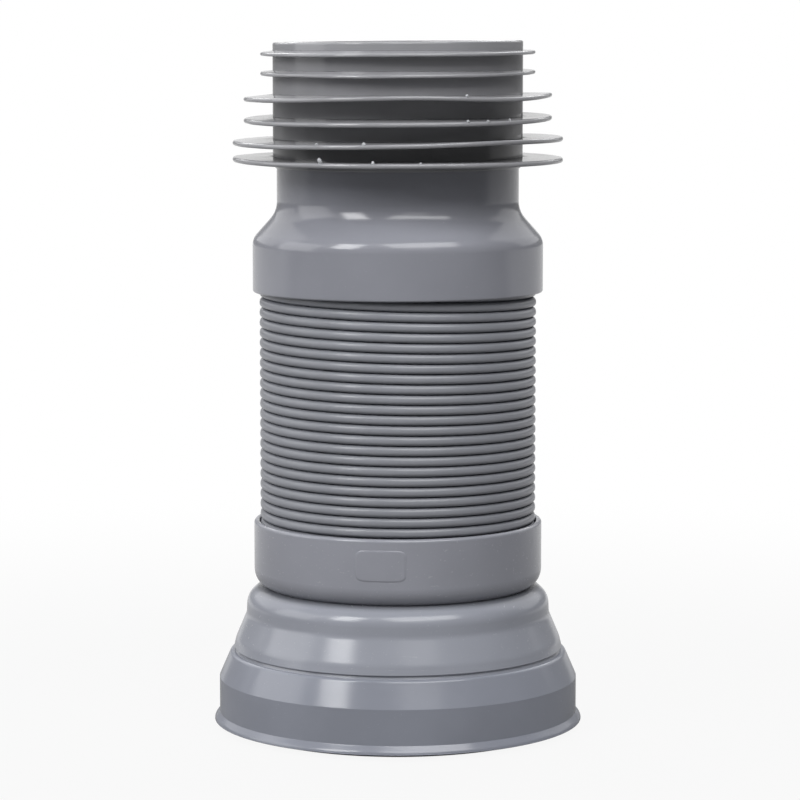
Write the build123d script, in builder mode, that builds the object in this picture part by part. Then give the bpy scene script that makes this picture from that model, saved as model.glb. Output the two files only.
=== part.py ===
from build123d import *
import os
from math import atan, hypot, tan

# Flexible toilet pan connector: a soft-lipped bell that pushes over the pan's horn, a bellows that takes up
# the distance, and a finned spigot that pushes into the soil pipe. Millimetres, +Z up the bore, standing on
# its pan end, with the origin at the middle of the bottom rim.

# Fits
seal_clearance = 0.15  # soft seal on the rigid tube or bell that it is stretched over
slip_clearance = 0.3  # bellows in its cuffs, and the cuff's tail in the bell
seat_gap = 0.3  # between faces that meet end to end without carrying anything

# Pan seal: skirt outside the bell, web under its rim, conical lip inside
skirt_radius = 64.05  # at its foot
skirt_draft = 0.25  # from the foot up to the kink
skirt_taper = 4.05  # from the kink up to the top
skirt_kink_height = 17.7
skirt_height = 27.85
seal_wall = 1.6
rim_bead = 1.8  # how far the bead stands out of the skirt
rim_height = 2.25
rim_flare = 3.2  # from the bead up to the skirt
rim_rounding = 0.8
web_thickness = 2.2
lip_radius = 47.0  # a pan horn of 97 to 107 mm across spreads it
lip_land = 3.0
lip_height = 21.0
lip_wall = 1.7
lip_tip_wall = 1.2  # the lip thins over its land

# Pan bell
bell_height = 51.5
bell_wall = 2.4
bell_step = 0.55  # how far the skirt stands proud of the bell's cone
bell_top_land = 1.95  # flat ring round the hole in the top
bell_top_wall = 3.0
bell_shoulder_width = 5.3
bell_shoulder_height = 7.9
bell_crown = 1.05  # how far the shoulder bulges
bell_band_height = 2.9
bell_band_draft = 0.3

# Pan cuff, with its tail in the bell
pan_cuff_wall = 1.95
pan_cuff_height = 22.6
pan_cuff_floor = 2.7
pan_cuff_rounding = 4.0
pan_cuff_lip_rounding = 0.6
tail_step = 3.05  # from the cuff's bore in to the tail
tail_wall = 3.0
tail_depth = 12.5  # below the bell's top
snap_reach = 1.6  # bead that holds the tail in the bell
snap_land = 0.8
snap_ramp = 2.4

# Bellows
bellows_radius = 49.15
bellows_shown = 81.55  # between the two cuffs, closed up
fold_spacing = 3.5
fold_groove = 1.2  # width of the groove at the crests
fold_depth = 3.6
fold_wall = 1.0
end_sleeve_wall = 1.6
hidden_folds = 2  # one in each cuff

# Outlet spigot: cuff, shoulder, neck and tube
outlet_cuff_wall = 2.05
outlet_cuff_height = 18.8
outlet_cuff_depth = 17.4  # from the cuff's edge up to the stop inside
outlet_cuff_rounding = 0.7
stop_width = 3.0
shoulder_height = 10.55
shoulder_rounding = 6.0
neck_radius = 42.85
neck_length = 15.5
neck_rounding = 5.5
spigot_wall = 2.4

# Fin seal: two wide, two middle and two narrow fins, each pair for one pipe bore
sleeve_wall = 1.2
sleeve_end = 1.4  # turned in over the spigot's end
sleeve_rounding = 0.9
sleeve_foot = 1.75  # below the lowest fin
sleeve_lip = 4.2  # above the topmost fin
wide_fin_reach = 14.2
wide_fin_edge = 1.3
wide_fin_gap = 6.55
middle_fin_reach = 10.25
middle_fin_edge = 1.2
middle_fin_gap = 7.95
narrow_fin_reach = 4.35
narrow_fin_edge = 0.9
narrow_fin_gap = 7.0
fin_root = 1.8
wide_to_middle = 7.8
middle_to_narrow = 8.55

# Radii and heights that several pieces share
cuff_bore = bellows_radius + slip_clearance
pan_cuff_radius = cuff_bore + pan_cuff_wall
tail_radius = cuff_bore - tail_step
pan_cuff_seat = bell_height + pan_cuff_floor
pan_cuff_top = bell_height + pan_cuff_height
outlet_cuff_radius = cuff_bore + outlet_cuff_wall
outlet_cuff_base = pan_cuff_top + bellows_shown
outlet_stop = outlet_cuff_base + outlet_cuff_depth
shoulder_base = outlet_cuff_base + outlet_cuff_height
neck_base = shoulder_base + shoulder_height
sleeve_base = neck_base + neck_length
low_wide_fin = sleeve_base + sleeve_foot
high_wide_fin = low_wide_fin + wide_fin_gap
low_middle_fin = high_wide_fin + wide_to_middle
high_middle_fin = low_middle_fin + middle_fin_gap
low_narrow_fin = high_middle_fin + middle_to_narrow
high_narrow_fin = low_narrow_fin + narrow_fin_gap
outlet_end = high_narrow_fin + sleeve_lip
spigot_end = outlet_end - sleeve_end
spigot_bore = neck_radius - spigot_wall


def round_edge(piece, radius, height):
    """The edge of a turned piece that lies at this height, nearest to this radius."""
    level = piece.edges().filter_by_position(Axis.Z, height - 0.01, height + 0.01)
    return level.sort_by(lambda edge: abs(edge.radius - radius))[0]


# Pan seal. The bell's rim stands in the channel between the skirt and the lip.
skirt_kink_radius = skirt_radius - skirt_draft
skirt_top_radius = skirt_kink_radius - skirt_taper
rim_radius = skirt_radius + rim_bead
channel_foot = skirt_radius - seal_wall
channel_kink = skirt_kink_radius - seal_wall
channel_top = skirt_top_radius - seal_wall
lip_run = lip_height - lip_land
lip_foot = channel_foot - 2 * seal_clearance - bell_wall - lip_wall
lip_slope = (lip_foot - lip_radius) / lip_run
lip_back = lip_radius + lip_wall * hypot(1, lip_slope)
with BuildPart() as pan_seal:
    with BuildSketch(Plane.XZ):
        with BuildLine():
            Polyline(
                (lip_foot, 0),
                (rim_radius, 0),
                (rim_radius, rim_height),
                (skirt_radius, rim_height + rim_flare),
                (skirt_kink_radius, skirt_kink_height),
                (skirt_top_radius, skirt_height),
                (channel_top, skirt_height),
                (channel_kink, skirt_kink_height),
                (channel_foot, web_thickness),
                (lip_back + lip_slope * (lip_run - web_thickness), web_thickness),
                (lip_back, lip_run),
                (lip_radius + lip_tip_wall, lip_height),
                (lip_radius, lip_height),
                (lip_radius, lip_run),
                close=True,
            )
        make_face()
    revolve(axis=Axis.Z)
    fillet(round_edge(pan_seal, rim_radius, 0), rim_rounding)
pan_seal.part.label = "pan_seal"

# Pan bell. A rebate takes the skirt, and a hole in the top takes the cuff's tail.
rebate_foot = channel_foot - seal_clearance
rebate_kink = channel_kink - seal_clearance
rebate_top = channel_top - seal_clearance
rebate_height = skirt_height + seat_gap
cone_foot = skirt_top_radius - bell_step
bell_hole = tail_radius + slip_clearance
bell_top_radius = bell_hole + bell_top_land
band_radius = bell_top_radius + bell_shoulder_width
cone_radius = band_radius + bell_band_draft
under_top = bell_height - bell_top_wall
band_top = bell_height - bell_shoulder_height
cone_top = band_top - bell_band_height
with BuildPart() as pan_bell:
    with BuildSketch(Plane.XZ):
        with BuildLine():
            Polyline(
                (bell_top_radius, bell_height),
                (bell_hole, bell_height),
                (bell_hole, under_top),
                (bell_top_radius, under_top),
                (band_radius - bell_wall, band_top),
                (cone_radius - bell_wall, cone_top),
                (rebate_top - bell_wall, rebate_height),
                (rebate_kink - bell_wall, skirt_kink_height),
                (rebate_foot - bell_wall, web_thickness),
                (rebate_foot, web_thickness),
                (rebate_kink, skirt_kink_height),
                (rebate_top, rebate_height),
                (cone_foot, rebate_height),
                (cone_radius, cone_top),
                (band_radius, band_top),
            )
            SagittaArc((band_radius, band_top), (bell_top_radius, bell_height), -bell_crown)
        make_face()
    revolve(axis=Axis.Z)
pan_bell.part.label = "pan_bell"

# Pan cuff. The bellows stands on its floor, and the bead on its tail snaps under the bell's top.
tail_bore = tail_radius - tail_wall
tail_end = bell_height - tail_depth
snap_radius = tail_radius + snap_reach
snap_top = under_top - seat_gap
snap_foot = snap_top - snap_land
with BuildPart() as pan_cuff:
    with BuildSketch(Plane.XZ):
        with BuildLine():
            Polyline(
                (tail_bore, tail_end),
                (tail_radius, tail_end),
                (tail_radius, snap_foot - snap_ramp),
                (snap_radius, snap_foot),
                (snap_radius, snap_top),
                (tail_radius, snap_top),
                (tail_radius, bell_height),
                (pan_cuff_radius, bell_height),
                (pan_cuff_radius, pan_cuff_top),
                (cuff_bore, pan_cuff_top),
                (cuff_bore, pan_cuff_seat),
                (tail_bore, pan_cuff_seat),
                close=True,
            )
        make_face()
    revolve(axis=Axis.Z)
    fillet(round_edge(pan_cuff, pan_cuff_radius, bell_height), pan_cuff_rounding)
    fillet(round_edge(pan_cuff, pan_cuff_radius, pan_cuff_top), pan_cuff_lip_rounding)
pan_cuff.part.label = "pan_cuff"

# Bellows. One thin wall, folded by a groove between crests outside and a notch behind each crest inside.
fold_count = round(bellows_shown / fold_spacing)
fold_pitch = bellows_shown / fold_count
crest_count = fold_count + hidden_folds
bellows_middle = pan_cuff_top + bellows_shown / 2
bellows_top = outlet_stop - seat_gap
fold_bore = bellows_radius - fold_depth - fold_wall
with BuildPart() as bellows:
    with BuildSketch(Plane.XZ):
        with Locations((bellows_radius, pan_cuff_seat)):
            Rectangle(end_sleeve_wall, bellows_top - pan_cuff_seat, align=(Align.MAX, Align.MIN))
        with Locations((bellows_radius, bellows_middle)):
            Rectangle(fold_depth + fold_wall, crest_count * fold_pitch, align=(Align.MAX, Align.CENTER))
            with GridLocations(0, fold_pitch, 1, crest_count - 1):
                Polygon(
                    (0, -fold_groove / 2),
                    (0, fold_groove / 2),
                    (-fold_depth, 0),
                    align=None,
                    mode=Mode.SUBTRACT,
                )
        with Locations((fold_bore, bellows_middle)):
            with GridLocations(0, fold_pitch, 1, crest_count):
                Polygon(
                    (0, -fold_pitch / 2),
                    (fold_depth, 0),
                    (0, fold_pitch / 2),
                    align=None,
                    mode=Mode.SUBTRACT,
                )
    revolve(axis=Axis.Z)
bellows.part.label = "bellows"

# Outlet spigot. The wall keeps its thickness through the shoulder, and a stop inside ends the bellows.
shoulder_slope = (outlet_cuff_radius - neck_radius) / shoulder_height
bore_base = neck_base - spigot_wall * tan(atan(shoulder_slope) / 2)
stop_radius = cuff_bore - stop_width
stop_top = bore_base - (stop_radius - spigot_bore) / shoulder_slope
with BuildPart() as outlet_spigot:
    with BuildSketch(Plane.XZ):
        with BuildLine():
            Polyline(
                (cuff_bore, outlet_cuff_base),
                (outlet_cuff_radius, outlet_cuff_base),
                (outlet_cuff_radius, shoulder_base),
                (neck_radius, neck_base),
                (neck_radius, spigot_end),
                (spigot_bore, spigot_end),
                (spigot_bore, bore_base),
                (stop_radius, stop_top),
                (stop_radius, outlet_stop),
                (cuff_bore, outlet_stop),
                close=True,
            )
        make_face()
    revolve(axis=Axis.Z)
    fillet(round_edge(outlet_spigot, outlet_cuff_radius, shoulder_base), shoulder_rounding)
    fillet(round_edge(outlet_spigot, neck_radius, neck_base), neck_rounding)
    fillet(round_edge(outlet_spigot, outlet_cuff_radius, outlet_cuff_base), outlet_cuff_rounding)
outlet_spigot.part.label = "outlet_spigot"

# Fin seal. A sleeve round the tube, turned in over its end, with flat fins that thin towards their edges.
sleeve_bore = neck_radius + seal_clearance
sleeve_radius = sleeve_bore + sleeve_wall
fin_pairs = (
    (wide_fin_reach, wide_fin_edge, low_wide_fin, high_wide_fin),
    (middle_fin_reach, middle_fin_edge, low_middle_fin, high_middle_fin),
    (narrow_fin_reach, narrow_fin_edge, low_narrow_fin, high_narrow_fin),
)
with BuildPart() as outlet_fin_seal:
    with BuildSketch(Plane.XZ):
        with BuildLine():
            Polyline(
                (sleeve_bore, sleeve_base),
                (sleeve_radius, sleeve_base),
                (sleeve_radius, outlet_end),
                (spigot_bore, outlet_end),
                (spigot_bore, spigot_end),
                (sleeve_bore, spigot_end),
                close=True,
            )
        make_face()
        for fin_reach, fin_edge, low_fin, high_fin in fin_pairs:
            with Locations((sleeve_radius, low_fin), (sleeve_radius, high_fin)):
                Polygon(
                    (-sleeve_wall / 2, -fin_root / 2),
                    (fin_reach, -fin_edge / 2),
                    (fin_reach, fin_edge / 2),
                    (-sleeve_wall / 2, fin_root / 2),
                    align=None,
                )
    revolve(axis=Axis.Z)
    fillet(round_edge(outlet_fin_seal, sleeve_radius, outlet_end), sleeve_rounding)
outlet_fin_seal.part.label = "outlet_fin_seal"

os.makedirs("parts", exist_ok=True)
for piece in (pan_seal, pan_bell, pan_cuff, bellows, outlet_spigot, outlet_fin_seal):
    export_step(piece.part, f"parts/{piece.part.label}.step")
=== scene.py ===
# A flexible toilet pan connector, standing on its pan end with its bellows closed up.
import math

import bmesh
import bpy
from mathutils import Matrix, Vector


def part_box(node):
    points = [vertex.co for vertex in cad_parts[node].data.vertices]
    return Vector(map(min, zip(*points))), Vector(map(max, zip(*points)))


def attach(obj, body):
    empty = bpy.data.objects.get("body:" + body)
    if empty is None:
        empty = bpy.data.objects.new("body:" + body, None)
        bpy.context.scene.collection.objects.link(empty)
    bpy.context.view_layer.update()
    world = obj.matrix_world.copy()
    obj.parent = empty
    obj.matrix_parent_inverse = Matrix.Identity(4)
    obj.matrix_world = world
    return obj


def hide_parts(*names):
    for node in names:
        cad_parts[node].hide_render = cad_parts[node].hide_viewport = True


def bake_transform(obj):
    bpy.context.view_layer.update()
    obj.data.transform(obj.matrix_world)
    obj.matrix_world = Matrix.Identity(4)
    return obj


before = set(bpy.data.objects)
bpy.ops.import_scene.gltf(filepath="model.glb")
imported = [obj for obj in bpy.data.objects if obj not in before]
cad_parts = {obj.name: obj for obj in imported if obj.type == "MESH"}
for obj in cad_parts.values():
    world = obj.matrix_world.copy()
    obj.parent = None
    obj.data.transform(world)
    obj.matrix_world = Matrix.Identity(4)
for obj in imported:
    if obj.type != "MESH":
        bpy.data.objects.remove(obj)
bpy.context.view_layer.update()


# Pan bell: the stiff mouth that goes over the pan's horn, injection moulded in grey polypropylene.
# A crowned shoulder and a cone come down to a straight wall, which the soft seal is stretched over.
MM = 0.001
SLIGHT = 0.2  # rounding of an edge that is left as the mould gives it, in millimetres
ARC_STEP = 10  # the most that one step of a rounding turns, in degrees
GUARD = 0.25  # width of the strip beside a rounding that keeps the flat next to it flat


class Value:
    """A number that varies over a piece. An expression on values adds its Math nodes."""

    def __init__(self, graph, socket):
        self.graph = graph
        self.socket = socket

    def math(self, operation, *terms):
        return self.graph.node("ShaderNodeMath", {"operation": operation}, dict(enumerate(terms)))

    def __add__(self, other):
        return self.math("ADD", self, other)

    def __radd__(self, other):
        return self.math("ADD", other, self)

    def __sub__(self, other):
        return self.math("SUBTRACT", self, other)

    def __rsub__(self, other):
        return self.math("SUBTRACT", other, self)

    def __mul__(self, other):
        return self.math("MULTIPLY", self, other)

    def __rmul__(self, other):
        return self.math("MULTIPLY", other, self)

    def __truediv__(self, other):
        return self.math("DIVIDE", self, other)

    def __rtruediv__(self, other):
        return self.math("DIVIDE", other, self)

    def __pow__(self, other):
        return self.math("POWER", self, other)

    def __abs__(self):
        return self.math("ABSOLUTE", self)

    def __gt__(self, other):
        return self.math("GREATER_THAN", self, other)

    def __lt__(self, other):
        return self.math("LESS_THAN", self, other)


class Graph:
    """A node tree as it is drawn, for a material, the world or a geometry."""

    def __init__(self, tree):
        self.tree = tree

    def node(self, kind, settings=None, sockets=None, output=0):
        made = self.tree.nodes.new(kind)
        for name, setting in (settings or {}).items():
            setattr(made, name, setting)
        for name, value in (sockets or {}).items():
            self.feed(made.inputs[name], value)
        return Value(self, made.outputs[output])

    def feed(self, socket, value):
        if isinstance(value, Value):
            self.tree.links.new(value.socket, socket)
        else:
            socket.default_value = value

    def along(self, vector, axis):
        """One coordinate of a vector."""
        return self.node("ShaderNodeSeparateXYZ", {}, {0: vector}, axis)

    def across(self, vector):
        """Distance from the upright axis."""
        flat = self.node("ShaderNodeVectorMath", {"operation": "MULTIPLY"},
                         {0: vector, 1: (1, 1, 0)})
        return self.node("ShaderNodeVectorMath", {"operation": "LENGTH"}, {0: flat}, "Value")

    def rise(self, value, low, high):
        """A smooth step, from 0 at low to 1 at high."""
        return self.node("ShaderNodeMapRange", {"interpolation_type": "SMOOTHSTEP"},
                         {0: value, 1: low, 2: high, 3: 0.0, 4: 1.0})


class Finish(Graph):
    """A material on its piece's own coordinates, in metres."""

    def __init__(self, name, constants):
        self.material = bpy.data.materials.new(name)
        self.material.use_nodes = True
        super().__init__(self.material.node_tree)
        self.shader = self.tree.nodes["Principled BSDF"]
        for socket, constant in constants.items():
            self.shader.inputs[socket].default_value = constant
        self.place = self.node("ShaderNodeTexCoord", output="Object")

    def stretched(self, scale, turn=(0, 0, 0)):
        """The coordinates for marks that run one way."""
        return self.node("ShaderNodeMapping", {},
                         {"Vector": self.place, "Rotation": turn, "Scale": scale})

    def noise(self, scale, detail=2.0, place=None):
        """Soft noise, with about scale lumps to a metre."""
        return self.node("ShaderNodeTexNoise", {},
                         {"Vector": place or self.place, "Scale": scale, "Detail": detail}, "Fac")

    def specks(self, scale, size):
        """1 in small spots, about one in a cell of 1 / scale."""
        spacing = self.node("ShaderNodeTexVoronoi", {},
                            {"Vector": self.place, "Scale": scale}, "Distance")
        return 1 - self.rise(spacing, size * 0.5, size)

    def mix(self, factor, first, second):
        """The first colour where the factor is 0, and the second where it is 1."""
        return self.node("ShaderNodeMix", {"data_type": "RGBA"},
                         {0: factor, 6: first, 7: second}, 2)

    def done(self, colour, roughness, relief):
        """Feeds the shader, with the relief as a height in metres."""
        self.feed(self.shader.inputs["Base Color"], colour)
        self.feed(self.shader.inputs["Roughness"], roughness)
        bump = self.node("ShaderNodeBump", {},
                         {"Strength": 1.0, "Distance": 1.0, "Height": relief})
        self.feed(self.shader.inputs["Normal"], bump)
        return self.material


def tint(colour, factor):
    """A colour made darker or lighter, as a socket takes it."""
    return (*(channel * factor for channel in colour), 1.0)


def moulded_plastic(name, colour, rough, painted_shade_heights=None):
    """Satin polypropylene, slightly cloudy, with sink marks, a fine mould texture, scuffs and dust.

    Painted shade, standing in for the shadow in a crease, darkens the colour from the first given
    height up to the second, in millimetres.
    """
    finish = Finish(name, {"IOR": 1.49})
    cloud = finish.noise(26, 4)
    sink = finish.noise(38, 1)
    texture = finish.noise(2600, 1)
    lines = finish.noise(1, 2, finish.stretched((40, 40, 1900)))
    long_scuffs = finish.noise(1, 3, finish.stretched((60, 1500, 900), (0.5, 0.3, 0.8)))
    cross_scuffs = finish.noise(1, 3, finish.stretched((1300, 70, 1100), (0.2, 0.9, 0.4)))
    scuffs = finish.rise(long_scuffs, 0.64, 0.72) + finish.rise(cross_scuffs, 0.65, 0.73)
    dust = finish.specks(420, 0.09)
    shade = finish.mix(finish.rise(cloud, 0.3, 0.7), tint(colour, 0.96), tint(colour, 1.05))
    shade = finish.mix(scuffs * 0.05 + dust * 0.05, shade, tint(colour, 1.6))
    # Painted shade: the colour darkens up to the upper height, standing in for the shadow in a
    # crease.
    if painted_shade_heights:
        low, high = painted_shade_heights
        painted_shade_cover = 0.65
        painted_shade_colour = tint(colour, 0.1)
        painted_shade_mask = finish.rise(finish.along(finish.place, "Z"), low * MM, high * MM)
        shade = finish.mix(painted_shade_mask * painted_shade_cover, shade, painted_shade_colour)
    roughness = rough + cloud * 0.06 + lines * 0.05 + scuffs * 0.1 + dust * 0.1
    relief = sink * 0.00009 + texture * 0.0000035 + lines * 0.0000015 - scuffs * 0.000004
    return finish.done(shade, roughness, relief)


def turned_size(node):
    """Radius, lower end and upper end of a turned part, in millimetres."""
    low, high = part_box(node)
    return high.x / MM, low.z / MM, high.z / MM


def bulged(start, end, rise, steps=10):
    """Points between two corners of an outline, on a line that bulges out to its left."""
    run = Vector(end) - Vector(start)
    out = Vector((-run.y, run.x)).normalized() * rise
    shares = [step / steps for step in range(1, steps)]
    return [(*(Vector(start) + run * share + out * 4 * share * (1 - share)), 0) for share in shares]


def rounded(outline):
    """A closed outline of corners (radius, height, rounding), as points with an arc at each."""
    corners = [Vector(corner[:2]) for corner in outline]
    arcs = []
    for index, corner in enumerate(corners):
        rounding = outline[index][2] if len(outline[index]) > 2 else SLIGHT
        if rounding == 0:
            arcs.append([corner])
            continue
        back = (corners[index - 1] - corner).normalized()
        ahead = (corners[(index + 1) % len(corners)] - corner).normalized()
        half = back.angle(ahead) / 2
        turn = math.pi - 2 * half
        centre = corner + (back + ahead).normalized() * rounding / math.sin(half)
        start = corner + back * rounding / math.tan(half) - centre
        end = corner + ahead * rounding / math.tan(half) - centre
        steps = max(2, math.ceil(turn / math.radians(ARC_STEP)))
        arcs.append([centre + (start * math.sin(turn * (1 - step / steps))
                               + end * math.sin(turn * step / steps)) / math.sin(turn)
                     for step in range(steps + 1)])
    line = []
    for arc, following in zip(arcs, arcs[1:] + arcs[:1]):
        run = following[0] - arc[-1]
        line += arc
        if run.length > 4 * GUARD:
            line += [arc[-1] + run.normalized() * GUARD, following[0] - run.normalized() * GUARD]
    return line


def smooth_piece(name, mesh, material):
    """A smooth object of a mesh that is no longer needed."""
    bmesh.ops.recalc_face_normals(mesh, faces=mesh.faces)
    for face in mesh.faces:
        face.smooth = True
    data = bpy.data.meshes.new(name)
    mesh.to_mesh(data)
    mesh.free()
    data.materials.append(material)
    made = bpy.data.objects.new(name, data)
    bpy.context.scene.collection.objects.link(made)
    return made


def turned(name, outline, material, around=288):
    """A piece turned about the upright axis from its outline, in millimetres."""
    line = rounded(outline)
    mesh = bmesh.new()
    rings = []
    for step in range(around):
        angle = 2 * math.pi * step / around
        across = math.cos(angle)
        along = math.sin(angle)
        rings.append([mesh.verts.new((radius * across * MM, radius * along * MM, height * MM))
                      for radius, height in line])
    for ring, following in zip(rings, rings[1:] + rings[:1]):
        for index in range(len(line)):
            mesh.faces.new((ring[index - 1], ring[index], following[index], following[index - 1]))
    return smooth_piece(name, mesh, material)


def stands_for(made, node, body):
    """The piece takes a node's place and moves with its body."""
    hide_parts(node)
    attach(made, body)


wall_radius, wall_foot, bell_top = turned_size("pan_bell")
bell_grey = (0.274, 0.286, 0.326)
bell_rough = 0.13
bell_wall = 2.4
wall_draft = 0.25  # how far the straight wall leans in up to the crease
crease_height = 17.7  # where the straight wall turns in to the cone
rebate_radius = 58.0  # top of the stretch that the seal covers
rebate_height = 28.15
cone_foot = 58.85
cone_bend = (58.05, 31.5)
cone_top = (54.25, 40.5)
crown_foot = (53.95, 46.6)
crown_top = (50.0, 50.1)
crown_edge = (47.6, bell_top - 0.7)  # round the hole, under the cuff's rounding
crown_inside = crown_foot[1] - 1.5
# Painted shade: the bell's colour darkens up towards the crease under the cuff, standing in for the
# cuff's shadow there.
crease_painted_shade = (crown_top[1] - 1.5, crown_edge[1])
hole_radius = 46.7
hole_edge = crown_edge[1] - 0.35
hole_foot = bell_top - 3.0
crease_radius = wall_radius - wall_draft
pan_bell = turned("pan_bell_moulding", [
    (*crown_edge, 0.4),
    (hole_radius, hole_edge, 0.3),
    (hole_radius, hole_foot),
    (crown_edge[0], hole_foot, 0.3),
    (crown_foot[0] - bell_wall, crown_inside, 2.0),
    (cone_top[0] - bell_wall, cone_top[1], 0.8),
    (rebate_radius - bell_wall, rebate_height, 0.8),
    (crease_radius - bell_wall, crease_height, 0.8),
    (wall_radius - bell_wall, wall_foot),
    (wall_radius, wall_foot),
    (crease_radius, crease_height, 0.3),
    (rebate_radius, rebate_height),
    (cone_foot, rebate_height, 0.3),
    (*cone_bend, 8.0),
    (*cone_top, 5.0),
    (*crown_foot, 6.0),
    (*crown_top, 3.5),
], moulded_plastic("bell_polypropylene", bell_grey, bell_rough, crease_painted_shade))
stands_for(pan_bell, "pan_bell", "pan_end")


# Pan seal: the soft skirt round the bell's mouth, moulded in grey rubber and stretched over the
# bell's wall. Its rim flares out and turns in below the wall, and a sloping lip goes up inside to
# grip the pan's horn.
rim_radius, rim_base, skirt_top = turned_size("pan_seal")
rubber_grey = (0.232, 0.245, 0.287)
skirt_rough = 0.15
skirt_grain = 0.000005


def soft_rubber(name, colour, rough, grain_height):
    """Smooth soft rubber with a faint bloom, a fine grain of a height in metres, and dust."""
    finish = Finish(name, {"IOR": 1.5})
    cloud = finish.noise(30, 4)
    sag = finish.noise(60, 2)
    grain = finish.noise(1900, 2)
    bloom = finish.rise(finish.noise(75, 5), 0.5, 0.72)
    dust = finish.specks(520, 0.1)
    shade = finish.mix(finish.rise(cloud, 0.3, 0.7), tint(colour, 0.95), tint(colour, 1.05))
    shade = finish.mix(bloom * 0.03 + dust * 0.1, shade, tint(colour, 1.7))
    roughness = rough + cloud * 0.06 + bloom * 0.04 + dust * 0.1
    relief = sag * 24 * grain_height + grain * grain_height
    return finish.done(shade, roughness, relief)


rim_foot = rim_radius - 7.8  # the ring that it stands on, from which the rim turns up
rim_under = rim_base + 2.15
rim_over = rim_base + 2.9
flare_top = rim_base + 5.1
skirt_radius = 64.05
skirt_wall = 1.6
skirt_crease = crease_height - 0.1
skirt_edge = (skirt_radius - 4.05, skirt_top - 0.9)
seat_radius = rim_radius - 7.15  # inner end of the seat under the bell's wall
lip_radius = 47.0
lip_height = 21.0
lip_foot = lip_height - 3.0  # where its upright land begins
lip_foot_wall = 1.995
lip_tip_wall = 1.2
pan_seal = turned("pan_seal_skirt", [
    (rim_foot, rim_base, 0.5),
    (rim_radius, rim_under, 0.3),
    (rim_radius, rim_over, 2.0),
    (skirt_radius, flare_top, 0.25),
    (skirt_radius, skirt_crease, 0.3),
    (*skirt_edge, 1.3),
    (skirt_edge[0] - wall_draft - skirt_wall, skirt_edge[1], 0.3),
    (skirt_radius - wall_draft - skirt_wall, crease_height, 0.3),
    (skirt_radius - skirt_wall, wall_foot),
    (seat_radius, wall_foot, 0.5),
    (lip_radius + lip_foot_wall, lip_foot, 0.8),
    (lip_radius + lip_tip_wall, lip_height, 0.3),
    (lip_radius, lip_height, 0.4),
    (lip_radius, lip_foot, 1.2),
], soft_rubber("skirt_rubber", rubber_grey, skirt_rough, skirt_grain))
stands_for(pan_seal, "pan_seal", "pan_end")


# Pan cuff: the cup round the lower end of the bellows, moulded in the same plastic as the bell. Its
# tail goes down through the hole in the bell's top and snaps in there. A bare raised pad stands on
# its front.
_, tail_end, cuff_top = turned_size("pan_cuff")
cuff_grey = (0.26676, 0.27324, 0.30888)
cuff_rough = 0.14
cuff_radius = 51.4
cuff_bore = 49.45
tail_bore = 43.4
tail_radius = 46.4
cuff_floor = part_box("bellows")[0].z / MM  # which the bellows stands on
snap_radius = 48.0
snap_top = 48.2
snap_edge = snap_top - 0.8
snap_foot = snap_top - 3.2
cuff_foot = bell_top - 1.4  # dips into the bell's hole
cuff_round_top = 56.7
cuff_round_rise = -1.45
pan_cuff = turned("pan_cuff_moulding", [
    (tail_bore, tail_end, 0.4),
    (tail_radius, tail_end, 0.6),
    (tail_radius, snap_foot),
    (snap_radius, snap_edge, 0.3),
    (snap_radius, snap_top),
    (tail_radius, snap_top),
    (tail_radius, cuff_foot, 0.3),
    *bulged((tail_radius, cuff_foot), (cuff_radius, cuff_round_top), cuff_round_rise),
    (cuff_radius, cuff_round_top, 0),
    (cuff_radius, cuff_top, 1.1),
    (cuff_bore, cuff_top, 0.5),
    (cuff_bore, cuff_floor, 0.4),
    (tail_bore, cuff_floor, 0.6),
], moulded_plastic("cuff_polypropylene", cuff_grey, cuff_rough))
stands_for(pan_cuff, "pan_cuff", "pan_end")

pad_angle = -6.6  # degrees from the front
pad_width = 19.6
pad_height = 12.0
pad_middle = 64.9
pad_rise = 0.17
pad_sunk = 0.5  # how far its edge goes down into the wall
pad_form = 6  # 2 is an ellipse, and more is squarer
pad_border = 6  # the outer sixth falls to the edge
pad_steps = 36
JOINED = 0.002  # points of a seam that lie nearer than this are joined, in millimetres


def bare_pad(name, material):
    """A low pillow with rounded corners that follows the cuff's wall, closed behind inside it."""
    mesh = bmesh.new()

    def point(column, row, back):
        u = 2 * column / pad_steps - 1
        v = 2 * row / pad_steps - 1
        edge = (abs(u) ** pad_form + abs(v) ** pad_form) ** (1 / pad_form)
        fall = min(1, max(0, edge * pad_border - pad_border + 1)) ** 2
        stand = pad_rise - (pad_rise + pad_sunk) * fall
        if back:
            stand = -pad_sunk * (2 - max(abs(u), abs(v)))
        angle = math.radians(pad_angle) + u * pad_width / 2 / cuff_radius
        radius = (cuff_radius + stand) * MM
        height = (pad_middle + v * pad_height / 2) * MM
        return mesh.verts.new((radius * math.sin(angle), -radius * math.cos(angle), height))

    half = pad_steps // 2
    for back in (False, True):
        grid = [[point(column, row, back) for row in range(pad_steps + 1)]
                for column in range(pad_steps + 1)]
        for column in range(pad_steps):
            for row in range(pad_steps):
                cell = [grid[column][row], grid[column + 1][row],
                        grid[column + 1][row + 1], grid[column][row + 1]]
                # Each cell is split along the line to the pad's middle, so that no corner is flat.
                if (column < half) != (row < half):
                    cell = cell[1:] + cell[:1]
                mesh.faces.new(cell[:3])
                mesh.faces.new((cell[2], cell[3], cell[0]))
    bmesh.ops.remove_doubles(mesh, verts=mesh.verts, dist=JOINED * MM)
    return smooth_piece(name, mesh, material)


cuff_pad = bare_pad("cuff_pad", pan_cuff.data.materials[0])
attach(cuff_pad, "pan_end")
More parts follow.
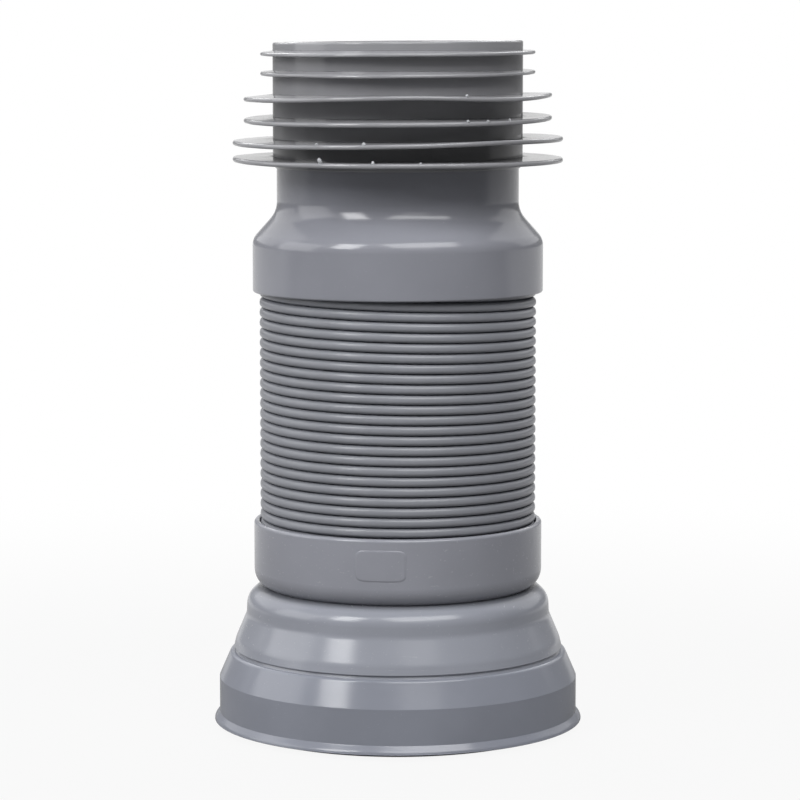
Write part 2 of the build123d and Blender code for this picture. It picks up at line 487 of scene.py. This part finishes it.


# Bellows: a soft plastic hose blown into folds, which run round it in one shallow spiral and lie
# closed up. Its two ends sit inside the cuffs. On the real connector the folds open out as it is
# pulled longer; here they are drawn closed up.
bellows_radius, hose_base, hose_top = turned_size("bellows")
cuff_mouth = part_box("outlet_spigot")[0].z / MM
fold_pitch = 3.546
fold_depth = 3.0
fold_wall = 1.0
crest_at = 0.39  # height of the crest in its fold, which sags a little
crest_form = 2.7  # 2 is an ellipse, and more is squarer
groove_end = 0.00003  # rounds off the last hair of the groove, so that its ends meet at the seam
front_groove = 152.12  # height of the uppermost groove that shows at the front
front_turn = 0.75  # share of a turn from the seam to the front
lean_top = -0.0186  # slope of the folds across the hose, where they leave the upper cuff
lean_foot = 0.0056
hose_around = 144
outer_rows = 12  # to a fold
inner_rows = 6
outer_gather = -0.65  # below 0, the rows crowd at the grooves, and above 0 at the crests
inner_gather = 0.45
hose_grey = (0.222, 0.229, 0.254)
# colour of the painted shade down in the folds
fold_painted_shade = (0.07, 0.08, 0.11, 1.0)


class Shape(Graph):
    """A geometry tree with named sizes."""

    def __init__(self, name, sizes, takes_mesh=False):
        super().__init__(bpy.data.node_groups.new(name, "GeometryNodeTree"))
        sockets = self.tree.interface
        sockets.new_socket("Mesh", in_out="OUTPUT", socket_type="NodeSocketGeometry")
        if takes_mesh:
            sockets.new_socket("Mesh", in_out="INPUT", socket_type="NodeSocketGeometry")
        for size in sizes:
            sockets.new_socket(size, in_out="INPUT", socket_type="NodeSocketFloat")
        self.given = self.tree.nodes.new("NodeGroupInput")

    def size(self, name):
        """One of the named sizes."""
        return Value(self, self.given.outputs[name])

    def grid(self, columns, rows):
        """A sheet of so many squares, with each point's column and row counted from 0."""
        sheet = self.node("GeometryNodeMeshGrid", {},
                          {"Size X": columns, "Vertices X": columns + 1,
                           "Size Y": rows, "Vertices Y": rows + 1})
        place = self.node("GeometryNodeInputPosition")
        column = self.along(place, "X") + columns / 2
        row = self.along(place, "Y") + rows / 2
        return sheet, column, row

    def wrapped(self, sheet, angle, radius, height):
        """The sheet set round the upright axis, with its seams joined."""
        place = self.node("ShaderNodeCombineXYZ", {},
                          {"X": radius * angle.math("COSINE", angle),
                           "Y": radius * angle.math("SINE", angle), "Z": height})
        moved = self.node("GeometryNodeSetPosition", {}, {"Geometry": sheet, "Position": place})
        return self.node("GeometryNodeMergeByDistance", {},
                         {"Geometry": moved, "Distance": JOINED * MM})

    def done(self, geometry, material):
        """Hands the geometry out as one smooth mesh."""
        smooth = self.node("GeometryNodeSetShadeSmooth", {}, {"Geometry": geometry})
        real = self.node("GeometryNodeRealizeInstances", {}, {"Geometry": smooth})
        dressed = self.node("GeometryNodeSetMaterial", {},
                            {"Geometry": real, "Material": material})
        self.feed(self.tree.nodes.new("NodeGroupOutput").inputs["Mesh"], dressed)

    def make(self, name, sizes, start=None):
        """A plain mesh object of these sizes."""
        made = bpy.data.objects.new(name, start or bpy.data.meshes.new(name))
        bpy.context.scene.collection.objects.link(made)
        modifier = made.modifiers.new(name, "NODES")
        modifier.node_group = self.tree
        for item in self.tree.interface.items_tree:
            if item.in_out == "INPUT" and item.name in sizes:
                modifier[item.identifier] = sizes[item.name]
        depsgraph = bpy.context.evaluated_depsgraph_get()
        shaped = bpy.data.meshes.new_from_object(made.evaluated_get(depsgraph))
        made.modifiers.remove(modifier)
        made.data = shaped
        return made


def hose_plastic(name, colour):
    """Soft blown plastic with painted shade, darker and bluish down in the folds, and fine rubbing
    on the crests.
    """
    finish = Finish(name, {"IOR": 1.49})
    radius = finish.across(finish.place)
    dark_line = (bellows_radius - 1.7) * MM
    open_line = (bellows_radius - 0.25) * MM
    rub_line = (bellows_radius - 0.12) * MM
    crest_line = bellows_radius * MM
    depth = 1 - finish.rise(radius, dark_line, open_line)
    rubbed = finish.rise(radius, rub_line, crest_line) * finish.noise(160, 4)
    cloud = finish.noise(34, 4)
    texture = finish.noise(2200, 2)
    dust = finish.specks(480, 0.1)
    shade = finish.mix(finish.rise(cloud, 0.3, 0.7), tint(colour, 0.95), tint(colour, 1.05))
    # Painted shade: the colour is darkened and made bluish down in the grooves, where the folds
    # shade each other.
    shade = finish.mix(depth * 0.3, shade, fold_painted_shade)
    shade = finish.mix(rubbed * 0.12 + dust * 0.2, shade, tint(colour, 1.6))
    roughness = 0.27 + cloud * 0.08 + rubbed * 0.1 + depth * 0.15
    return finish.done(shade, roughness, texture * 0.000005 + cloud * 0.00003)


def folded_hose(name):
    """One sheet, up the outside and down the inside, whose rows follow the spiral of the folds."""
    lower = hose_base * MM
    upper = hose_top * MM
    pitch = fold_pitch * MM
    start = front_groove * MM + pitch * front_turn
    start -= pitch * math.ceil((start - lower) / pitch)
    folds = math.ceil((upper - start) / pitch) + 1
    outside = folds * outer_rows
    inside = folds * inner_rows

    shape = Shape(name, ("Radius", "Lower end", "Upper end", "First fold", "Fold pitch",
                         "Fold depth", "Wall", "Lean at foot", "Lean at top", "Foot of lean",
                         "Top of lean"))
    low_end = shape.size("Lower end")
    high_end = shape.size("Upper end")
    first = shape.size("First fold")
    pitch_size = shape.size("Fold pitch")
    sheet, column, row = shape.grid(hose_around, outside + inside + 2)
    turn = column / hose_around
    angle = turn * 2 * math.pi
    closing = row > outside + inside + 1.5
    is_inner = (row > outside + 0.5) - closing
    outer_steps = (1 - is_inner - closing) * row / outer_rows
    inner_steps = is_inner * (outside + 1 + inside - row) / inner_rows
    steps_up = outer_steps + inner_steps
    gather = is_inner * (inner_gather - outer_gather) + outer_gather
    swing = steps_up * 2 * math.pi
    phase = steps_up + gather * swing.math("SINE", swing) / (2 * math.pi)
    free = first + pitch_size * (phase - turn)
    height = free.math("MINIMUM", free.math("MAXIMUM", free, low_end), high_end)
    place = (height - first) / pitch_size + turn
    up_fold = place.math("FRACT", place) - crest_at
    off_crest = up_fold.math("MAXIMUM", up_fold / (1 - crest_at), up_fold / -crest_at)
    crest = off_crest.math("MAXIMUM", 1 - off_crest ** crest_form, groove_end)
    outer_drop = 1 - crest ** (1 / crest_form)
    notch = off_crest.math("MINIMUM", off_crest * 2, 1.0)
    inner_drop = notch * (2 - notch)
    drop = outer_drop * (1 - is_inner) + inner_drop * is_inner
    radius = shape.size("Radius") - shape.size("Fold depth") * drop - shape.size("Wall") * is_inner

    foot = shape.size("Foot of lean")
    top = shape.size("Top of lean")
    up = (height - foot) / (top - foot)
    lean = shape.size("Lean at foot") * (1 - up) + shape.size("Lean at top") * up
    held = shape.rise(height, low_end, foot) * (1 - shape.rise(height, top, high_end))
    tilted = height + radius * angle.math("COSINE", angle) * lean * held
    shape.done(shape.wrapped(sheet, angle, radius, tilted),
               hose_plastic("hose_polyethylene", hose_grey))
    return shape.make(name, {
        "Radius": bellows_radius * MM,
        "Lower end": lower,
        "Upper end": upper,
        "First fold": start,
        "Fold pitch": pitch,
        "Fold depth": fold_depth * MM,
        "Wall": fold_wall * MM,
        "Lean at foot": lean_foot,
        "Lean at top": lean_top,
        "Foot of lean": cuff_top * MM,
        "Top of lean": cuff_mouth * MM,
    })


bellows = folded_hose("bellows_hose")
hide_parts("bellows")
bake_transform(bellows)


# Outlet spigot: the stiff upper end, moulded in grey polypropylene in one with the cuff round the
# bellows, a sloping shoulder and the tube that carries the fin seal.
outlet_cuff_radius, _, tube_end = turned_size("outlet_spigot")
spigot_grey = (0.247, 0.253, 0.286)
spigot_rough = 0.1
tube_radius = 42.85
tube_bore = tube_radius - 2.4
shoulder_base = 174.45
neck_foot = 184.2
stop_radius = 46.45
stop_base = hose_top + 0.3  # what the end of the bellows comes up against
stop_top = 176.82
bore_base = 184.14
outlet_spigot = turned("outlet_spigot_moulding", [
    (cuff_bore, cuff_mouth, 0.3),
    (outlet_cuff_radius, cuff_mouth, 0.7),
    (outlet_cuff_radius, shoulder_base, 6.0),
    (tube_radius, neck_foot, 9.0),
    (tube_radius, tube_end, 0.3),
    (tube_bore, tube_end, 0.3),
    (tube_bore, bore_base, 3.0),
    (stop_radius, stop_top, 0.3),
    (stop_radius, stop_base, 0.3),
    (cuff_bore, stop_base, 0.3),
], moulded_plastic("spigot_polypropylene", spigot_grey, spigot_rough))
stands_for(outlet_spigot, "outlet_spigot", "outlet_end")


# Outlet fin seal: a soft sleeve moulded in rubber, pulled over the tube and turned in over its end,
# with six thin fins in three pairs that bend as they enter the soil pipe. The fins lie a little
# uneven, and bits of flash cling to their edges.
_, sleeve_base, sleeve_top = turned_size("outlet_fin_seal")
sleeve_bore = 43.0
sleeve_radius = 44.2
foot_radius = 43.4
foot_base = sleeve_base - 1.1
foot_top = sleeve_base + 1.0
sleeve_step = sleeve_base + 1.4
lip_dips = (0.8, 0.8, 0.0)  # of the upper edge below its back, at the left, front and right
fin_buried = 0.4
fin_ripple = 0.18
fin_around = 288
fin_rows = 20
# Each fin's radius, thickness at the root and at the edge, and height, how far its edge lies off
# level at the left, front and right, and how far it waves between them.
fins = (
    (58.4, 1.9, 1.7, 202.25, (0.35, -0.32, 0.15), (-0.25, -0.1)),
    (58.4, 1.9, 1.6, 208.8, (-0.45, -0.26, 0.96), (-0.36, 0.4)),
    (54.45, 1.8, 1.6, 216.6, (-0.45, -0.98, 0.65), (-0.05, -0.3)),
    (54.45, 1.8, 1.5, 224.55, (-1.05, 0.1, 0.6), (-0.45, -1.1)),
    (48.55, 1.4, 1.25, 233.1, (-0.55, -1.36, 0.15), (0.1, -0.05)),
    (48.55, 1.3, 1.2, 240.1, (-0.67, -1.14, 0.1), (-0.05, -0.18)),
)
fin_grey = (0.264, 0.265, 0.28)
fin_rough = 0.08
fin_grain = 0.0000008
sleeve = turned("outlet_fin_seal_rubber", [
    (sleeve_bore, foot_base),
    (foot_radius, foot_base, 0.3),
    (foot_radius, foot_top, 0.3),
    (sleeve_radius, sleeve_step, 0.3),
    (sleeve_radius, sleeve_top, 0.7),
    (tube_bore, sleeve_top, 0.5),
    (tube_bore, tube_end),
    (sleeve_bore, tube_end),
], soft_rubber("fin_rubber", fin_grey, fin_rough, fin_grain))


def off_level(left, front, right, angle):
    """Height of a ring through three points, at an angle from the front to the right."""
    level = (left + right) / 2
    return level + (right - level) * math.sin(angle) + (front - level) * math.cos(angle)


lip_back = off_level(*lip_dips, math.pi)
for vertex in sleeve.data.vertices:
    if vertex.co.z > (tube_end + SLIGHT) * MM:
        dip = off_level(*lip_dips, math.atan2(vertex.co.x, -vertex.co.y)) - lip_back
        vertex.co.z -= max(0, dip) * MM


def fin_shape(name, material):
    """A flat ring that thins to a rounded edge. Its section runs out underneath and back on top."""
    shape = Shape(name, ("Sleeve radius", "Reach", "Root", "Edge", "Height", "Left", "Front",
                         "Right", "Left wave", "Right wave", "Ripple", "Seed"))
    reach = shape.size("Reach")
    sheet, column, row = shape.grid(fin_around, fin_rows + 1)
    angle = column * (2 * math.pi / fin_around)
    cosine = angle.math("COSINE", angle)
    sine = angle.math("SINE", angle)
    closing = row > fin_rows + 0.5
    side = (row * (2 / fin_rows) - 1) * (1 - closing) - closing
    share = 1 - abs(side) ** 3
    half_edge = shape.size("Edge") / 2
    into_edge = (share * reach - reach + half_edge) / half_edge
    into_edge = into_edge.math("MAXIMUM", into_edge, 0.0)
    straight = shape.size("Root") / 2 * (1 - share) + half_edge * share
    half_thick = straight * (1 - into_edge ** 3) ** 0.5
    ring = shape.node("ShaderNodeCombineXYZ", {},
                      {"X": cosine, "Y": sine, "Z": shape.size("Seed")})
    ripple = shape.node("ShaderNodeTexNoise", {},
                        {"Vector": ring, "Scale": 2.4, "Detail": 1.0}, "Fac") - 0.5
    level = (shape.size("Left") + shape.size("Right")) / 2
    to_right = (shape.size("Right") - level) * cosine
    to_front = (shape.size("Front") - level) * sine
    forward = sine.math("MAXIMUM", sine * -2, 0.0)
    left_wave, right_wave = ((forward * cosine.math("MAXIMUM", cosine * way, 0.0)) ** 2
                             for way in (-1, 1))
    set_off = (level + to_right - to_front
               + left_wave * shape.size("Left wave") + right_wave * shape.size("Right wave")
               + ripple * shape.size("Ripple") * 2)
    radius = shape.size("Sleeve radius") + reach * share
    height = shape.size("Height") + half_thick * side.math("SIGN", side) + set_off * share
    shape.done(shape.wrapped(sheet, angle, radius, height), material)
    return shape


def joined(name, pieces):
    """One object of several pieces, which are taken away."""
    mesh = bmesh.new()
    material = pieces[0].data.materials[0]
    for made in pieces:
        mesh.from_mesh(made.data)
        bpy.data.objects.remove(made)
    return smooth_piece(name, mesh, material)


fin_tree = fin_shape("seal_fin", sleeve.data.materials[0])
fin_rings = []
for number, (radius, root, edge, height, offs, waves) in enumerate(fins):
    fin_rings.append(fin_tree.make(f"fin_{number}", {
        "Sleeve radius": (sleeve_radius - fin_buried) * MM,
        "Reach": (radius - sleeve_radius + fin_buried) * MM,
        "Root": root * MM,
        "Edge": edge * MM,
        "Height": height * MM,
        "Left": offs[0] * MM,
        "Front": offs[1] * MM,
        "Right": offs[2] * MM,
        "Left wave": waves[0] * MM,
        "Right wave": waves[1] * MM,
        "Ripple": fin_ripple * MM,
        "Seed": float(number),
    }))
fin_seal = joined("outlet_fin_seal_rubber", [sleeve, *fin_rings])
stands_for(fin_seal, "outlet_fin_seal", "outlet_end")

# Each bit of flash: the fin that it clings to, its angle from the front to the right, its width and
# its height.
flash_bits = (
    (0, -27.1, 1.5, 2.6),
    (0, -8.3, 1.1, 1.3),
    (0, 7.6, 0.8, 0.8),
    (1, -28.3, 1.1, 1.2),
    (1, -11.3, 1.2, 1.2),
    (2, 26.2, 1.0, 1.1),
    (2, 34.8, 1.1, 0.9),
    (2, 45.3, 0.9, 1.0),
    (3, 25.8, 1.1, 1.4),
)
flash_grey = (0.42, 0.43, 0.45)
flash_inset = 0.4  # of the edge's thickness, in from the edge and up from the fin's middle
flash_lift = 0.3  # of the bit's height, up from there
flash_lean = 0.4  # radians either way
flash_spin = 6.2


def fin_flash(name):
    """Torn bits of rubber, each a lumpy ball that stands on its fin's edge."""
    points = bpy.data.meshes.new(name)
    places = []
    for number, degrees, _, tall in flash_bits:
        radius, _, edge, height, offs, waves = fins[number]
        angle = math.radians(degrees)
        stand = radius - edge * flash_inset
        wave = waves[degrees > 0] * math.sin(2 * angle) ** 2
        lift = height + edge * flash_inset + tall * flash_lift + off_level(*offs, angle) + wave
        places.append((stand * math.sin(angle) * MM, -stand * math.cos(angle) * MM, lift * MM))
    points.from_pydata(places, [], [])
    for side, column in (("Width", 2), ("Tallness", 3)):
        measure = points.attributes.new(side, "FLOAT", "POINT")
        measure.data.foreach_set("value", [bit[column] / 2 * MM for bit in flash_bits])
    finish = Finish("fin_flash_rubber", {"IOR": 1.5})
    mottle = finish.noise(900, 3)
    shade = finish.mix(finish.rise(mottle, 0.35, 0.65),
                       tint(flash_grey, 0.8), tint(flash_grey, 1.15))
    material = finish.done(shade, mottle * 0.2 + 0.35, mottle * 0.00005)

    shape = Shape(name, ("Lumpiness", "Seed"), takes_mesh=True)
    wide, tall = (shape.node("GeometryNodeInputNamedAttribute",
                             {"data_type": "FLOAT"}, {"Name": side})
                  for side in ("Width", "Tallness"))
    bit_size = shape.node("ShaderNodeCombineXYZ", {}, {"X": wide, "Y": wide, "Z": tall})
    lean = shape.node("FunctionNodeRandomValue", {"data_type": "FLOAT_VECTOR"},
                      {"Min": (-flash_lean, -flash_lean, 0.0),
                       "Max": (flash_lean, flash_lean, flash_spin)})
    ball = shape.node("GeometryNodeMeshIcoSphere", {}, {"Radius": 1.0, "Subdivisions": 3})
    bits = shape.node("GeometryNodeInstanceOnPoints", {},
                      {"Points": Value(shape, shape.given.outputs["Mesh"]), "Instance": ball,
                       "Rotation": lean, "Scale": bit_size})
    solid = shape.node("GeometryNodeRealizeInstances", {}, {"Geometry": bits})
    place = shape.node("GeometryNodeInputPosition")
    lump = shape.node("ShaderNodeTexNoise", {"noise_dimensions": "4D"},
                      {"Vector": place, "W": shape.size("Seed"), "Scale": 1400.0,
                       "Detail": 1.0}, "Fac")
    swell = (lump - 0.5) * shape.size("Lumpiness")
    outward = shape.node("ShaderNodeVectorMath", {"operation": "SCALE"},
                         {0: shape.node("GeometryNodeInputNormal"), "Scale": swell})
    lumpy = shape.node("GeometryNodeSetPosition", {}, {"Geometry": solid, "Offset": outward})
    shape.done(lumpy, material)
    return shape.make(name, {"Lumpiness": 0.9 * MM, "Seed": 3.0}, points)


flash = fin_flash("fin_flash")
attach(flash, "outlet_end")


# Floor: a plain table top, which shows white to the camera and keeps a faint shadow, and which is
# dark down inside the bore. Behind the object it is a white sweep, which the plastic reflects.
floor_half = 6.0
floor_grey = (0.2, 0.2, 0.2, 1.0)
bore_floor = (0.05, 0.06)  # from the axis: dark within the first, white beyond the second
shadow_reach = (0.15, 0.6)
shadow_kept = 0.08
sweep_start = (0.0, 0.5)
sweep_level = 0.75
floor_finish = Finish("pale_floor", {"Base Color": floor_grey, "Roughness": 0.9})
glow = floor_finish.node("ShaderNodeEmission", {}, {"Color": (1, 1, 1, 1), "Strength": 1.0})
lit_floor = Value(floor_finish, floor_finish.shader.outputs[0])
camera_sees = floor_finish.node("ShaderNodeLightPath", output="Is Camera Ray")
glossy_sees = floor_finish.node("ShaderNodeLightPath", output="Is Glossy Ray")
from_axis = floor_finish.across(floor_finish.place)
near = 1 - floor_finish.rise(from_axis, *shadow_reach)
outside = floor_finish.rise(from_axis, *bore_floor)
behind = floor_finish.rise(floor_finish.along(floor_finish.place, "Y"), *sweep_start)
white = (camera_sees * outside * (1 - near * shadow_kept)
         + glossy_sees * behind * sweep_level)
shown = floor_finish.node("ShaderNodeMixShader", {}, {0: white, 1: lit_floor, 2: glow})
floor_finish.feed(floor_finish.tree.nodes["Material Output"].inputs["Surface"], shown)
floor_mesh = bmesh.new()
bmesh.ops.create_grid(floor_mesh, x_segments=1, y_segments=1, size=floor_half)
floor = smooth_piece("floor", floor_mesh, floor_finish.material)


# Light: a tall soft key at the left, a wide soft main light high at the right with a small one
# below it, and dim panels at the left and behind. The room is white to the camera and dim to the
# object, and a white board stands straight behind.
fill_level = 0.18
backdrop_start = (0.0, 0.5)
backdrop_level = 0.1
board_start = (0.97, 0.99)
board_level = 0.6
light_aim = Vector((0, 0, 0.12))


def softbox(name, azimuth, elevation, distance, width, height, radiance):
    """A soft panel aimed at the object, at degrees to the right of the camera and up."""
    azimuth = math.radians(azimuth)
    elevation = math.radians(elevation)
    toward = Vector((math.sin(azimuth) * math.cos(elevation),
                     -math.cos(azimuth) * math.cos(elevation),
                     math.sin(elevation)))
    lamp = bpy.data.lights.new(name, "AREA")
    lamp.shape = "RECTANGLE"
    lamp.size = width
    lamp.size_y = height
    lamp.energy = radiance * math.pi * width * height
    panel = bpy.data.objects.new(name, lamp)
    panel.location = light_aim + toward * distance
    panel.rotation_euler = toward.to_track_quat("Z", "Y").to_euler()
    panel.visible_camera = False
    bpy.context.scene.collection.objects.link(panel)


softbox("key", -45, 39, 1.2, 0.38, 0.62, 9.6)
softbox("main", 24, 52, 1.6, 1.35, 0.8, 5.1)
softbox("second", 17, 33, 1.2, 0.5, 0.42, 1.25)
softbox("left_panel", -88, 22, 1.3, 0.9, 0.8, 1.95)
softbox("left_back", -135, 30, 1.3, 1.0, 1.0, 0.8)
softbox("right_back", 135, 30, 1.3, 1.0, 1.0, 0.7)
softbox("back_panel", 180, 40, 1.4, 1.3, 0.8, 3.4)

world = bpy.data.worlds.new("white_room")
world.use_nodes = True
bpy.context.scene.world = world
room = Graph(world.node_tree)
camera_ray = room.node("ShaderNodeLightPath", output="Is Camera Ray")
glossy_ray = room.node("ShaderNodeLightPath", output="Is Glossy Ray")
toward_back = room.along(room.node("ShaderNodeTexCoord", output="Generated"), "Y")
backdrop = (room.rise(toward_back, *backdrop_start) * backdrop_level
            + room.rise(toward_back, *board_start) * board_level)
background = world.node_tree.nodes["Background"]
room.feed(background.inputs["Color"], (1, 1, 1, 1))
room.feed(background.inputs["Strength"],
          camera_ray + glossy_ray * backdrop + (1 - camera_ray) * fill_level)


# Camera: a long lens about level with the object's top, tilted a little down at its middle.
camera = bpy.data.objects.new("camera", bpy.data.cameras.new("camera"))
camera.data.lens = 140.8
camera.location = (0.00077, -1.1101, 0.2408)
camera.rotation_euler = (math.radians(83.618), 0, 0)
bpy.context.scene.collection.objects.link(camera)
bpy.context.scene.camera = camera
bpy.context.scene.view_settings.view_transform = "Standard"
